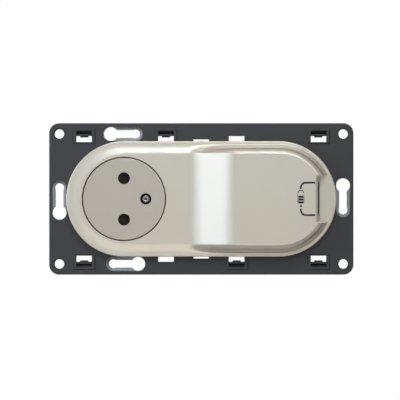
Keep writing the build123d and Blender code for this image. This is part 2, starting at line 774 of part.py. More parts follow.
def strip(start):
    """Flat strip behind the contacts, with its end bent to the rear into the cage."""
    flat = block(start, TAB_AT + STRIP_T, -STRIP_W / 2, STRIP_W / 2, CONTACT_END, strip_top())
    bent = flat + tab(STRIP_W, CONTACT_END - TAB_L, strip_top())
    corner = bent.edges().filter_by(Axis.Z).filter_by(
        lambda e: e.center().X > TAB_AT + STRIP_T / 2 and -e.center().Y > CONTACT_END
    )
    return fillet(corner, STRIP_BEND_R)


def pin_contact():
    """Sprung clip for one pin: two leaves that pinch, flare and join in a web behind."""
    throat = CONTACT_TOP - CONTACT_L / 4
    root = CONTACT_GRIP + CONTACT_FLARE / 2
    mouth = CONTACT_GRIP + CONTACT_FLARE
    right = [
        (root, strip_top()), (CONTACT_GRIP, throat), (mouth, CONTACT_TOP),
        (mouth + STRIP_T, CONTACT_TOP), (CONTACT_GRIP + STRIP_T, throat), (root + STRIP_T, CONTACT_END),
    ]
    left = [(-x, height) for x, height in reversed(right)]
    outline = make_face(Polyline(*right, *left, close=True))
    clip = extrude(across(CONTACT_AT - CONTACT_W / 2) * outline, CONTACT_W)
    return clip + strip(CONTACT_AT)


def earth_pin():
    """Turned pin with a domed and dimpled tip, a collar against the base and a stem through the strap."""
    tip = DISC_FACE - EARTH_TIP_BELOW
    collar_end = strip_top()
    pin = rod(0, 0, EARTH_PIN_R, collar_end, tip)
    pin = fillet(front_edges(pin), EARTH_DOME_R)
    pin -= Pos(0, EARTH_DIMPLE / 2 - tip, 0) * Rot(90, 0, 0) * Cone(0, EARTH_DIMPLE_R, EARTH_DIMPLE)
    pin += rod(0, 0, EARTH_COLLAR_R, collar_end, collar_end + EARTH_COLLAR_T)
    pin += rod(0, 0, EARTH_STEM_R, CONTACT_END - STRIP_T, collar_end)
    return to_gang(Pos(EARTH_OFFSET, 0, 0) * pin, -1)


def earth_strap():
    start = EARTH_OFFSET - STRIP_W / 2
    hole = rod(EARTH_OFFSET, 0, EARTH_STEM_R + FIT_GAP / 2, CONTACT_END, strip_top())
    return to_gang(on_radius(strip(start) - hole, EARTH), -1)


def cage(end):
    """Rectangular clamp ring around a tab, with the threaded hole of its screw."""
    middle = cage_middle(end)
    low, high = middle - CAGE_H / 2, middle + CAGE_H / 2
    inner, outer = TAB_AT - CAGE_WALL, TAB_AT + CAGE_MOUTH + CAGE_WALL
    side = CAGE_W / 2
    ring = block(inner, outer, -side, side, low, high)
    upright = ring.edges().filter_by(Axis.Y)
    ring = fillet(upright, CAGE_WALL)
    ring -= block(TAB_AT, TAB_AT + CAGE_MOUTH, -side + CAGE_WALL, side - CAGE_WALL, low, high)
    hole = across(TAB_AT + CAGE_MOUTH / 2) * Pos(0, middle) * Circle(CLAMP_SCREW_R + FIT_GAP)
    return ring - extrude(hole, CAGE_MOUTH)


def clamp_screw(end):
    """Screw along the radius: its tip in the cage's mouth, its slotted head in the wall of the base."""
    face = TAB_AT + CAGE_MOUTH + CAGE_WALL
    middle = cage_middle(end)
    shank_l = CAGE_WALL + CLAMP_BITE
    shank = extrude(across(face - shank_l) * Pos(0, middle) * Circle(CLAMP_SCREW_R), shank_l)
    head = extrude(across(face) * Pos(0, middle) * Circle(CLAMP_HEAD_R), BASE_FLAT - face)
    slot_w = CLAMP_HEAD_R / 3
    slot = block(
        (face + BASE_FLAT) / 2, BASE_FLAT,
        -CLAMP_HEAD_R, CLAMP_HEAD_R,
        middle - slot_w / 2, middle + slot_w / 2,
    )
    return shank + head - slot


def at_terminals(make):
    """One copy of what make(end) gives at each of the five terminals."""
    outlet = [to_gang(on_radius(make(SOCKET_END), angle), -1) for angle in (LINE, NEUTRAL, EARTH)]
    charger = [to_gang(on_radius(make(CHARGER_END), angle), 1) for angle in (LINE, NEUTRAL)]
    return outlet + charger


# Charger

def charger_board():
    """Round board on the rim of the housing, cut straight below the mouth of the port."""
    outline = Circle(TUBE_R - BOARD_INSET)
    outline -= Pos(USB_FRONT + TUBE_R, 0) * Rectangle(2 * TUBE_R, 2 * TUBE_R)
    return to_gang(slab(outline, BOARD_SEAT, BOARD_TOP), 1)


def charger_tabs():
    strip_end = CHARGER_END + CAGE_CLEAR
    return [to_gang(on_radius(tab(STRIP_W, strip_end, BOARD_SEAT), angle), 1) for angle in (LINE, NEUTRAL)]


def usb_shell():
    """Drawn steel shell of the port, open to the notch, on four legs that stand on the board."""
    back = GANG_X + USB_FRONT - USB_L
    outer = RectangleRounded(USB_W, USB_H, USB_EDGE_R)
    inner = RectangleRounded(USB_W - 2 * USB_WALL, USB_H - 2 * USB_WALL, USB_EDGE_R - USB_WALL)
    shell = extrude(across(back) * Pos(0, PORT_MID) * outer, USB_L)
    side = USB_W / 2
    for start in (back, back + USB_L - 2 * USB_LEG_L):
        shell += block(start, start + USB_LEG_L, side - USB_WALL, side, BOARD_TOP, PORT_MID)
        shell += block(start, start + USB_LEG_L, -side, USB_WALL - side, BOARD_TOP, PORT_MID)
    return shell - extrude(across(back + USB_WALL) * Pos(0, PORT_MID) * inner, USB_L)


def usb_bezel():
    """Moulded surround of the port's mouth, sunk a little into the leaning wall of the notch."""
    outline = RectangleRounded(PORT_W - 2 * FIT_GAP, PORT_H - 2 * FIT_GAP, PORT_CORNER_R - FIT_GAP)
    mouth = RectangleRounded(PORT_MOUTH_W, PORT_MOUTH_H, PORT_MOUTH_R)
    return port_bar(outline - mouth, USB_FRONT + FIT_GAP) - notch(PORT_SINK)


def tongue_low():
    """Height of the tongue's face on the side of its contacts."""
    return PORT_MID + USB_H / 2 - USB_WALL - TONGUE_RAISE - TONGUE_T


def usb_tongue():
    """Moulded insert: a block in the back of the shell and the tongue that carries the contacts."""
    back = GANG_X + USB_FRONT - USB_L + USB_WALL
    depth = USB_L - USB_WALL - TONGUE_L - TONGUE_SETBACK
    gap = 2 * (USB_WALL + FIT_GAP)
    outline = RectangleRounded(USB_W - gap, USB_H - gap, USB_EDGE_R - USB_WALL)
    seat = extrude(across(back) * Pos(0, PORT_MID) * outline, depth)
    start = back + depth
    half = TONGUE_W / 2
    low = tongue_low()
    return seat + block(start, start + TONGUE_L, -half, half, low, low + TONGUE_T)


def usb_contacts():
    start = GANG_X + USB_FRONT - TONGUE_SETBACK - TONGUE_L
    half = USB_STRIP_W / 2
    low = tongue_low() - USB_STRIP_T
    return [block(start, start + USB_STRIP_L, z - half, z + half, low, tongue_low()) for z in USB_STRIP_AT]


def transformer_core():
    """Ferrite core under the board: a frame with a middle limb."""
    window_h = CORE_H - 2 * CORE_LIMB
    window_z = (CORE_Z - 4 * CORE_LIMB) / 2
    x, z = CORE_AT
    low = BOARD_SEAT - CORE_H
    core = block(-CORE_X / 2, CORE_X / 2, -CORE_Z / 2, CORE_Z / 2, low, BOARD_SEAT)
    for side in (-1, 1):
        middle = side * (CORE_LIMB + window_z / 2)
        core -= block(
            -CORE_X / 2, CORE_X / 2,
            middle - window_z / 2, middle + window_z / 2,
            low + CORE_LIMB, low + CORE_LIMB + window_h,
        )
    return to_gang(Pos(x, 0, z) * core, 1)


def transformer_coil():
    """Winding around the middle limb."""
    x, z = CORE_AT
    low = BOARD_SEAT - CORE_H + CORE_LIMB + FIT_GAP
    high = BOARD_SEAT - CORE_LIMB - FIT_GAP
    window_z = (CORE_Z - 4 * CORE_LIMB) / 2
    outer = RectangleRounded(
        CORE_X + 2 * COIL_OUT, 2 * (CORE_LIMB + window_z - FIT_GAP), COIL_OUT
    )
    inner = Rectangle(CORE_X + 2 * FIT_GAP, 2 * (CORE_LIMB + FIT_GAP))
    return to_gang(Pos(x, 0, z) * slab(outer - inner, low, high), 1)


def bulk_capacitors():
    def can(x, z):
        body = rod(x, z, CAPACITOR_R, BOARD_SEAT - CAPACITOR_L, BOARD_SEAT)
        return to_gang(fillet(rear_edges(body), CAPACITOR_R / 6), 1)

    x = USB_FRONT - CAPACITOR_R - CAPACITOR_EDGE
    return [can(x, side * CAPACITOR_Z) for side in (-1, 1)]


def nodes():
    """Every separate piece, by the name of its file."""
    return {
        "support_frame": support_frame(),
        "fixing_plate": fixing_plate(),
        "front_cover": front_cover(),
        "socket_disc": socket_disc(),
        "shutter": shutter(),
        "shutter_spring": shutter_spring(),
        "shutter_retainer": shutter_retainer(),
        "disc_spring": disc_spring(),
        "socket_body": to_gang(gang_body(COLLAR_END), -1),
        "socket_base": socket_base(),
        "socket_rear_cover": socket_rear_cover(),
        "line_contact": to_gang(on_radius(pin_contact(), LINE), -1),
        "neutral_contact": to_gang(on_radius(pin_contact(), NEUTRAL), -1),
        "earth_pin": earth_pin(),
        "earth_strap": earth_strap(),
        "terminal_cages": at_terminals(cage),
        "terminal_screws": at_terminals(clamp_screw),
        "charger_body": to_gang(gang_body(BOARD_SEAT), 1),
        "charger_base": charger_base(),
        "charger_rear_cover": charger_rear_cover(),
        "cover_screws": cover_screws(),
        "charger_board": charger_board(),
        "charger_tabs": charger_tabs(),
        "transformer_core": transformer_core(),
        "transformer_coil": transformer_coil(),
        "bulk_capacitors": bulk_capacitors(),
        "usb_shell": usb_shell(),
        "usb_bezel": usb_bezel(),
        "usb_tongue": usb_tongue(),
        "usb_contacts": usb_contacts(),
    }


def main():
    os.makedirs("parts", exist_ok=True)
    for name, shape in nodes().items():
        solids = shape if isinstance(shape, list) else [shape]
        bodies = [solid for part in solids for solid in part.solids()]
        export_step(Compound(bodies) if len(bodies) > 1 else bodies[0], f"parts/{name}.step")


main()
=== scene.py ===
"""Looks of a two-gang wall socket with a charging port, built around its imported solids.

The frame is the CAD frame: X to the right, Z up, Y into the wall, in metres. The pieces made here
hold their sizes in millimetres.
"""

from __future__ import annotations

import logging
import math
from abc import ABC, abstractmethod
from dataclasses import dataclass
from enum import Enum
from typing import Any, Mapping, Sequence, Union

import bpy
import numpy as np
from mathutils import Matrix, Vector

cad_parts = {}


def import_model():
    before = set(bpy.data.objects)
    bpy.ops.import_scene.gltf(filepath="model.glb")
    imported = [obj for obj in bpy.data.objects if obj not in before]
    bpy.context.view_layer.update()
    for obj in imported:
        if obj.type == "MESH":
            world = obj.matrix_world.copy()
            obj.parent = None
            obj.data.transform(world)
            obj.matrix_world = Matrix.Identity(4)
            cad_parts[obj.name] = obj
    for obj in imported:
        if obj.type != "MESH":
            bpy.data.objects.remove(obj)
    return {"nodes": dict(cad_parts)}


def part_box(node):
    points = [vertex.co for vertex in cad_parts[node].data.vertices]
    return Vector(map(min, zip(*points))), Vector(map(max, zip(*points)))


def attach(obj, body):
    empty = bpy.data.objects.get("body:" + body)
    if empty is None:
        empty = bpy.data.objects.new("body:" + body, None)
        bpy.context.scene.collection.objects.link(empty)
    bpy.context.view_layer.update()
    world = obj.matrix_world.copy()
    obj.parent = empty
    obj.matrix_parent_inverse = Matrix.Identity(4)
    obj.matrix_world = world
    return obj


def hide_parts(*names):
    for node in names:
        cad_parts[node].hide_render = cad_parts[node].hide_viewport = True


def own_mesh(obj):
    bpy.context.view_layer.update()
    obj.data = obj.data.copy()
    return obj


LOG = logging.getLogger("usb_wall_socket")
MM = 0.001
FULL_TURN = 2.0 * math.pi
MIDDLE = (0.0, 0.0, 0.0)
WHITE = (1.0, 1.0, 1.0, 1.0)

# Shading of the CAD nodes: corners nearer than the gap (metres) are one corner, and edges sharper
# than the crease (degrees) stay edges.
WELD_GAP = 1e-6
CREASE = 32.0

# The display curve: a straight toe, then a shifted power.
BYTE = 255.0
TOE, TOE_SLOPE = 0.04045, 12.92
CURVE_SHIFT, CURVE_POWER = 0.055, 2.4

# The middle of a noise or a wave, which run from 0 to 1.
NOISE_MEAN = 0.5

Vec3 = tuple[float, float, float]
Rgb = tuple[float, float, float]
Pair = tuple[float, float]
Value = Union["Wire", float, int]


class Body(str, Enum):
    """The rigid bodies that new pieces ride on."""

    HOUSING = "housing"
    DISC = "disc"


class Slot(str, Enum):
    """Material slots of the record; nothing in this script reads them."""

    SPRING = "spring_steel"
    INK = "shutter_plastic"


def srgb(red: int, green: int, blue: int) -> Rgb:
    """Turns a display colour into linear light.

    Args:
        red: Red, 0 to 255.
        green: Green, 0 to 255.
        blue: Blue, 0 to 255.

    Returns:
        The three linear values, 0 to 1.
    """
    shown = np.array([red, green, blue]) / BYTE
    curve = ((shown + CURVE_SHIFT) / (1.0 + CURVE_SHIFT)) ** CURVE_POWER
    linear = np.where(shown <= TOE, shown / TOE_SLOPE, curve)
    return tuple(float(x) for x in linear)


# Shader graphs


class Wire:
    """One output socket of a node; arithmetic on it adds Math nodes."""

    def __init__(self, graph: "Graph", socket: bpy.types.NodeSocket | None) -> None:
        """Keeps the graph and the socket."""
        self.graph = graph
        self.socket = socket

    def out(self, name: str) -> "Wire":
        """Gives another output of the same node."""
        return Wire(self.graph, self.socket.node.outputs[name])

    def _math(self, operation: str, left: Value, right: Value) -> "Wire":
        """Adds one Math node with two operands."""
        return self.graph.add("ShaderNodeMath", {"operation": operation}, {0: left, 1: right})

    def __add__(self, other: Value) -> "Wire":
        """Adds a value."""
        return self._math("ADD", self, other)

    def __radd__(self, other: Value) -> "Wire":
        """Adds to a value."""
        return self._math("ADD", other, self)

    def __sub__(self, other: Value) -> "Wire":
        """Takes a value away."""
        return self._math("SUBTRACT", self, other)

    def __rsub__(self, other: Value) -> "Wire":
        """Is taken away from a value."""
        return self._math("SUBTRACT", other, self)

    def __mul__(self, other: Value) -> "Wire":
        """Multiplies by a value."""
        return self._math("MULTIPLY", self, other)

    def __rmul__(self, other: Value) -> "Wire":
        """Multiplies a value."""
        return self._math("MULTIPLY", other, self)

    def at_most(self, other: Value) -> "Wire":
        """Gives the lower of the two."""
        return self._math("MINIMUM", self, other)

    def at_least(self, other: Value) -> "Wire":
        """Gives the higher of the two."""
        return self._math("MAXIMUM", self, other)

    def weighed(self, other: "Wire", share: float) -> "Wire":
        """Averages with another wire, which has the rest of the share, kept between 0 and 1."""
        return (self * share + other * (1.0 - share)).at_least(0.0).at_most(1.0)


class Graph:
    """A node tree with one way to add a node."""

    # Numbers of a Mix node's sockets when it mixes colours.
    MIX_SHARE, MIX_LOW, MIX_HIGH = 0, 6, 7

    def __init__(self, tree: bpy.types.NodeTree) -> None:
        """Takes the tree and empties it."""
        self.tree = tree
        tree.nodes.clear()

    def add(
        self,
        kind: str,
        settings: Mapping[str, Any] | None = None,
        inputs: Mapping[str | int, Any] | None = None,
    ) -> Wire:
        """Adds a node.

        Args:
            kind: The node's type, such as "ShaderNodeTexNoise".
            settings: Its properties, set before its sockets.
            inputs: Values or wires for its sockets, by name or number.

        Returns:
            Its first output that is in use.
        """
        node = self.tree.nodes.new(kind)
        for name, value in (settings or {}).items():
            setattr(node, name, value)
        for key, value in (inputs or {}).items():
            socket = node.inputs[key]
            if isinstance(value, Wire):
                self.tree.links.new(value.socket, socket)
            else:
                socket.default_value = value
        shown = [socket for socket in node.outputs if socket.enabled]
        return Wire(self, shown[0] if shown else None)

    def place(self) -> Wire:
        """Gives the Object coordinates."""
        return self.add("ShaderNodeTexCoord").out("Object")

    def noise(self, scale: float, detail: float = 2.0, stretch: Vec3 = (1.0, 1.0, 1.0)) -> Wire:
        """Adds a noise on Object coordinates.

        Args:
            scale: Grains per metre.
            detail: Octaves.
            stretch: Factor on each coordinate, below 1 to draw the grain out.

        Returns:
            The noise, about 0.5 on average.
        """
        spot = self.add("ShaderNodeMapping", None, {"Vector": self.place(), "Scale": stretch})
        return self.add(
            "ShaderNodeTexNoise", None, {"Vector": spot, "Scale": scale, "Detail": detail}
        )

    def step(self, value: Wire, low: float, high: float) -> Wire:
        """Rises smoothly from 0 to 1.

        Args:
            value: The value to follow.
            low: Where the rise starts.
            high: Where it ends.

        Returns:
            The share.
        """
        return self.add(
            "ShaderNodeMapRange",
            {"interpolation_type": "SMOOTHSTEP"},
            {"Value": value, "From Min": low, "From Max": high},
        )

    def tint(self, share: Value, low: Rgb | Wire, high: Rgb | Wire) -> Wire:
        """Mixes two colours.

        Args:
            share: Share of the second colour.
            low: The first colour.
            high: The second colour.

        Returns:
            The mixed colour.
        """
        first, second = (end if isinstance(end, Wire) else (*end, 1.0) for end in (low, high))
        return self.add(
            "ShaderNodeMix",
            {"data_type": "RGBA"},
            {self.MIX_SHARE: share, self.MIX_LOW: first, self.MIX_HIGH: second},
        )

    def bump(self, height: Wire, relief: float) -> Wire:
        """Turns a height of 0 to 1 into a normal; the relief is in metres."""
        return self.add("ShaderNodeBump", None, {"Height": height, "Distance": relief})

    def seen(self) -> Wire:
        """Tells the rays that look at a surface from those that light the object.

        Returns:
            1 for rays from the camera, a reflection or glass, and 0 for all others.
        """
        path = self.add("ShaderNodeLightPath")
        seen = path.out("Is Camera Ray").at_least(path.out("Is Glossy Ray"))
        return seen.at_least(path.out("Is Transmission Ray"))


# Finishes


@dataclass(frozen=True)
class Finish(ABC):
    """A finish: plain shader values and a pattern of what varies over the surface.

    In all finishes a noise has its grains per metre, a relief is in metres, a contrast is the
    share by which the colour gets darker or lighter, and a spread is the range of the roughness.
    """

    name: str
    color: Rgb
    roughness: float
    metallic: float = 0.0
    coat: float = 0.0
    coat_roughness: float = 0.1
    gloss: float = 0.5

    @abstractmethod
    def pattern(self, graph: Graph) -> dict[str, Wire]:
        """Gives the sockets that vary over the surface.

        Args:
            graph: The material's graph.

        Returns:
            Wires by the name of the shader's socket.
        """

    def tones(self, darker: float, lighter: float) -> tuple[Rgb, Rgb]:
        """Gives the range of the colour.

        Args:
            darker: Share taken off for the dark end.
            lighter: Share added for the light end.

        Returns:
            The dark and the light colour.
        """
        dark = tuple((1.0 - darker) * c for c in self.color)
        light = tuple(min(1.0, (1.0 + lighter) * c) for c in self.color)
        return dark, light

    def uneven(self, noise: Wire, spread: float) -> Wire:
        """Gives the roughness, spread about its plain value by a noise."""
        return (noise - NOISE_MEAN) * spread + self.roughness

    def surface(self, graph: Graph, shader: Wire) -> Wire:
        """Gives the shader that goes to the material's output."""
        return shader

    def material(self) -> bpy.types.Material:
        """Makes the material.

        Returns:
            A material with one Principled shader.
        """
        made = bpy.data.materials.new(self.name)
        made.use_nodes = True
        graph = Graph(made.node_tree)
        plain = {
            "Base Color": (*self.color, 1.0),
            "Roughness": self.roughness,
            "Metallic": self.metallic,
            "Coat Weight": self.coat,
            "Coat Roughness": self.coat_roughness,
            "Specular IOR Level": self.gloss,
        }
        shader = graph.add("ShaderNodeBsdfPrincipled", None, {**plain, **self.pattern(graph)})
        graph.add("ShaderNodeOutputMaterial", None, {"Surface": self.surface(graph, shader)})
        return made


@dataclass(frozen=True)
class Lacquer(Finish):
    """Metallic lacquer on plastic: fine flakes under a thin clear coat with a faint orange peel."""

    flake: float = 9000.0
    flake_share: float = 0.8
    cloud: float = 60.0
    contrast: float = 0.10
    spread: float = 0.10
    peel: float = 700.0
    peel_relief: float = 0.000004

    def pattern(self, graph: Graph) -> dict[str, Wire]:
        """Gives the flakes' colour and gloss and the faint waviness of sprayed paint.

        Args:
            graph: The material's graph.

        Returns:
            Wires by the name of the shader's socket.
        """
        flake = graph.noise(self.flake, detail=1.0)
        share = flake.weighed(graph.noise(self.cloud), self.flake_share)
        return {
            "Base Color": graph.tint(share, *self.tones(self.contrast, self.contrast)),
            "Roughness": self.uneven(flake, self.spread),
            "Normal": graph.bump(graph.noise(self.peel), self.peel_relief),
        }


@dataclass(frozen=True)
class MouldedPlastic(Finish):
    """Plastic from an eroded mould: a fine even grain that scatters the light."""

    grain: float = 3500.0
    grain_share: float = 0.6
    cloud: float = 35.0
    contrast: float = 0.12
    spread: float = 0.2
    relief: float = 0.00003

    def pattern(self, graph: Graph) -> dict[str, Wire]:
        """Gives the grain of the mould and a faint flow cloud.

        Args:
            graph: The material's graph.

        Returns:
            Wires by the name of the shader's socket.
        """
        grain = graph.noise(self.grain)
        share = grain.weighed(graph.noise(self.cloud, detail=3.0), self.grain_share)
        return {
            "Base Color": graph.tint(share, *self.tones(self.contrast, self.contrast)),
            "Roughness": self.uneven(grain, self.spread),
            "Normal": graph.bump(grain, self.relief),
        }


@dataclass(frozen=True)
class PlatedSteel(Finish):
    """Rolled metal, bare or plated: streaks of rolling along X and a soft spangle."""

    streak: float = 2500.0
    streak_stretch: Vec3 = (0.04, 1.0, 1.0)
    streak_share: float = 0.6
    spangle: float = 450.0
    darker: float = 0.18
    lighter: float = 0.12
    spread: float = 0.25
    relief: float = 0.000006

    def pattern(self, graph: Graph) -> dict[str, Wire]:
        """Gives the rolling streaks and the spangle of the plating.

        Args:
            graph: The material's graph.

        Returns:
            Wires by the name of the shader's socket.
        """
        streak = graph.noise(self.streak, detail=3.0, stretch=self.streak_stretch)
        spangle = graph.add(
            "ShaderNodeTexVoronoi",
            {"feature": "F1"},
            {"Vector": graph.place(), "Scale": self.spangle},
        ).out("Color")
        grey = graph.add("ShaderNodeRGBToBW", None, {"Color": spangle})
        share = streak.weighed(grey, self.streak_share)
        return {
            "Base Color": graph.tint(share, *self.tones(self.darker, self.lighter)),
            "Roughness": self.uneven(share, self.spread),
            "Normal": graph.bump(streak, self.relief),
        }


@dataclass(frozen=True)
class PinTip(PlatedSteel):
    """Plated pin with painted shade in the dimple and on the shoulder of its tip.

    The axis runs along Y through the centre, given as X and Z, and the tip ends at Y = front. The
    tip changes over the dimple and the shoulder, which are pairs of radii, and the shank, a pair of
    depths behind the tip, all in metres. In the dimple and on the shoulder the colour is darkened
    to a small share of itself as painted shade, and the ring between them is lifted part of the
    way back to the full colour as a painted highlight.
    """

    centre: Pair = (0.0, 0.0)
    front: float = 0.0
    dimple: Pair = (0.00068, 0.00092)
    shoulder: Pair = (0.00098, 0.00142)
    shank: Pair = (0.0007, 0.0012)
    painted_shade: float = 0.07
    ring_highlight: float = 0.46
    dimple_roughness: float = 0.3

    def pattern(self, graph: Graph) -> dict[str, Wire]:
        """Gives the plating, with painted shade near the tip by the squared distance from the axis.

        Args:
            graph: The material's graph.

        Returns:
            Wires by the name of the shader's socket.
        """
        made = super().pattern(graph)
        spot = graph.add("ShaderNodeSeparateXYZ", None, {"Vector": graph.place()})
        across = spot.out("X") - self.centre[0]
        up = spot.out("Z") - self.centre[1]
        square = across * across + up * up
        inner = graph.step(square, *(r * r for r in self.dimple))
        outer = graph.step(square, *(r * r for r in self.shoulder))
        shank = graph.step(spot.out("Y") - self.front, *self.shank)
        # Painted shade in the dimple and on the shoulder, painted highlight on the ring between.
        bright = (inner * (1.0 - outer) * self.ring_highlight).at_least(shank)
        painted_shade = tuple(self.painted_shade * c for c in self.color)
        made["Base Color"] = graph.tint(bright, painted_shade, made["Base Color"])
        made["Roughness"] = made["Roughness"] + (1.0 - inner) * self.dimple_roughness
        return made


@dataclass(frozen=True)
class Winding(Finish):
    """Enamelled wire wound in layers: fine ridges one behind the other.

    The ridges are a wave along Y of 20 radians per unit of its scale, so a scale of 125 gives one
    every 2.5 mm.
    """

    wave_scale: float = 125.0
    wobble: float = 0.4
    groove_shade: float = 0.45
    spread: float = -0.1
    relief: float = 0.0001

    def pattern(self, graph: Graph) -> dict[str, Wire]:
        """Gives the ridges of the wire, with painted shade and more roughness in the grooves.

        Args:
            graph: The material's graph.

        Returns:
            Wires by the name of the shader's socket.
        """
        ridge = graph.add(
            "ShaderNodeTexWave",
            {"wave_type": "BANDS", "bands_direction": "Y"},
            {"Vector": graph.place(), "Scale": self.wave_scale, "Distortion": self.wobble},
        ).out("Fac")
        return {
            # Painted shade: the grooves between the ridges are darkened.
            "Base Color": graph.tint(ridge, *self.tones(self.groove_shade, 0.0)),
            "Roughness": self.uneven(ridge, self.spread),
            "Normal": graph.bump(ridge, self.relief),
        }


@dataclass(frozen=True)
class FloorPaint(Finish):
    """Pale paint of the floor, lifted towards white where it is seen, with its shadow kept."""

    grain: float = 1800.0
    darker: float = 0.06
    lighter: float = 0.05
    spread: float = 0.12
    relief: float = 0.00002
    lift: float = 0.7

    def pattern(self, graph: Graph) -> dict[str, Wire]:
        """Gives the fine grain of rolled paint.

        Args:
            graph: The material's graph.

        Returns:
            Wires by the name of the shader's socket.
        """
        grain = graph.noise(self.grain, detail=3.0)
        return {
            "Base Color": graph.tint(grain, *self.tones(self.darker, self.lighter)),
            "Roughness": self.uneven(grain, self.spread),
            "Normal": graph.bump(grain, self.relief),
        }

    def surface(self, graph: Graph, shader: Wire) -> Wire:
        """Mixes a white glow into the paint for the rays that look at it.

        Args:
            graph: The material's graph.
            shader: The paint.

        Returns:
            The mixed shader.
        """
        glow = graph.add("ShaderNodeEmission", None, {"Color": WHITE, "Strength": 1.0})
        share = graph.seen() * self.lift
        return graph.add("ShaderNodeMixShader", None, {0: share, 1: shader, 2: glow})


class Look(Enum):
    """The finishes that solids and new pieces are given by name."""

    TITANIUM_LACQUER = Lacquer(
        "titanium_lacquer",
        srgb(183, 174, 157),
        roughness=0.39,
        metallic=0.25,
        coat=1.0,
        coat_roughness=0.20,
    )
    DISC_LACQUER = Lacquer(
        "disc_lacquer",
        srgb(163, 154, 138),
        roughness=0.41,
        metallic=0.25,
        coat=0.8,
        coat_roughness=0.22,
    )
    FRAME_PLASTIC = MouldedPlastic("frame_plastic", srgb(50, 49, 50), roughness=0.5, gloss=0.22)
    HOUSING_PLASTIC = MouldedPlastic(
        "housing_plastic", srgb(214, 213, 206), roughness=0.45, grain=2600.0, contrast=0.05
    )
    SHUTTER_PLASTIC = MouldedPlastic(
        "shutter_plastic", srgb(26, 16, 14), roughness=0.6, gloss=0.15
    )
    SIGN_INK = MouldedPlastic(
        "sign_ink", srgb(10, 9, 8), roughness=0.6, gloss=0.15, grain=9000.0, relief=0.000004
    )
    PLATE_ZINC = PlatedSteel("plate_zinc", srgb(200, 211, 216), roughness=0.5, gloss=0.2)
    ZINC_STEEL = PlatedSteel(
        "zinc_steel", srgb(176, 184, 188), roughness=0.35, metallic=0.7, spangle=900.0
    )
    SPRING_STEEL = PlatedSteel(
        "spring_steel", srgb(170, 172, 176), roughness=0.28, metallic=1.0
    )
    NICKEL = PlatedSteel(
        "nickel", srgb(208, 205, 198), roughness=0.2, metallic=1.0, spangle=1200.0
    )
    CONTACT_BRASS = PlatedSteel(
        "contact_brass", srgb(214, 178, 100), roughness=0.26, metallic=1.0, spangle=900.0
    )
    BOARD_LAMINATE = MouldedPlastic(
        "board_laminate", srgb(40, 104, 66), roughness=0.3, coat=0.4, grain=1500.0
    )
    FERRITE = MouldedPlastic("ferrite", srgb(58, 58, 60), roughness=0.6)
    COPPER_WINDING = Winding("copper_winding", srgb(186, 104, 62), roughness=0.3, metallic=0.8)
    CAPACITOR_SLEEVE = MouldedPlastic(
        "capacitor_sleeve", srgb(34, 38, 52), roughness=0.3, coat=0.5
    )


class Finishes:
    """The materials of all named finishes, each made once."""

    def __init__(self) -> None:
        """Makes the materials."""
        self._made = {look: look.value.material() for look in Look}

    def __getitem__(self, look: Look) -> bpy.types.Material:
        """Gives the material of a finish."""
        return self._made[look]


# Surfaces


@dataclass(frozen=True)
class Surface:
    """Points and faces of one piece, in metres."""

    points: np.ndarray
    faces: list[Sequence[int]]

    @staticmethod
    def joined(parts: Sequence["Surface"]) -> "Surface":
        """Puts several surfaces into one.

        Args:
            parts: The surfaces.

        Returns:
            One surface with the points and faces of all.
        """
        starts = np.cumsum([0] + [len(part.points) for part in parts])
        faces = [
            [int(start) + i for i in face]
            for part, start in zip(parts, starts)
            for face in part.faces
        ]
        return Surface(np.concatenate([part.points for part in parts]), faces)

    def piece(
        self, name: str, material: bpy.types.Material, smooth: bool = True
    ) -> bpy.types.Object:
        """Makes a mesh object at the origin.

        Args:
            name: The piece's name.
            material: Its finish.
            smooth: Whether its faces shade smoothly.

        Returns:
            The object, linked to the scene.
        """
        mesh = bpy.data.meshes.new(name)
        mesh.from_pydata(self.points.tolist(), [], self.faces)
        mesh.polygons.foreach_set("use_smooth", np.full(len(mesh.polygons), smooth))
        mesh.materials.append(material)
        mesh.update()
        made = bpy.data.objects.new(name, mesh)
        bpy.context.scene.collection.objects.link(made)
        return made


def grid_faces(rows: int, columns: int) -> list[list[int]]:
    """Quads of a closed grid whose points are stored row by row; the last column joins the first.

    Args:
        rows: Number of rows.
        columns: Number of points in a row.

    Returns:
        Corner numbers of each quad.
    """
    row, column = np.meshgrid(np.arange(rows - 1), np.arange(columns), indexing="ij")
    after = (column + 1) % columns
    low, high = row * columns, (row + 1) * columns
    quads = np.stack([low + column, low + after, high + after, high + column], axis=-1)
    return quads.reshape(-1, 4).tolist()


def swept(path: np.ndarray, across: np.ndarray, up: np.ndarray, section: np.ndarray) -> Surface:
    """A closed section carried along a path, with flat ends.

    Each point is the path's point plus the section's first coordinate times the direction across
    and its second times the direction up.

    Args:
        path: Points of the path, n by 3.
        across: Unit vectors for the section's first coordinate, n by 3.
        up: Unit vectors for its second coordinate, n by 3.
        section: Corners of the section, m by 2, in order.

    Returns:
        The closed surface.
    """
    points = (
        path[:, None, :]
        + section[None, :, 0, None] * across[:, None, :]
        + section[None, :, 1, None] * up[:, None, :]
    ).reshape(-1, 3)
    rows, columns = len(path), len(section)
    last = (rows - 1) * columns
    ends = [list(range(columns))[::-1], list(range(last, last + columns))]
    return Surface(points, grid_faces(rows, columns) + ends)


def ring(sides: int, radius: float) -> np.ndarray:
    """Corners of a round section: the radius times cosine and sine of even steps of a turn."""
    turn = np.arange(sides) * (FULL_TURN / sides)
    return radius * np.stack([np.cos(turn), np.sin(turn)], axis=-1)


def strip(half_width: float, half_height: float) -> np.ndarray:
    """Corners of a rectangular section, given by half of its two sides."""
    corners = np.array([[-1.0, -1.0], [1.0, -1.0], [1.0, 1.0], [-1.0, 1.0]])
    return corners * [half_width, half_height]


def spokes(turn: np.ndarray) -> np.ndarray:
    """Unit vectors away from the Y axis: cosine along X and sine along Z, n by 3."""
    return np.stack([np.cos(turn), np.zeros_like(turn), np.sin(turn)], axis=-1)


def headings(path: np.ndarray) -> np.ndarray:
    """Unit vectors along a path: the differences of its points, each divided by its length."""
    along = np.gradient(path, axis=0)
    return along / np.linalg.norm(along, axis=1, keepdims=True)


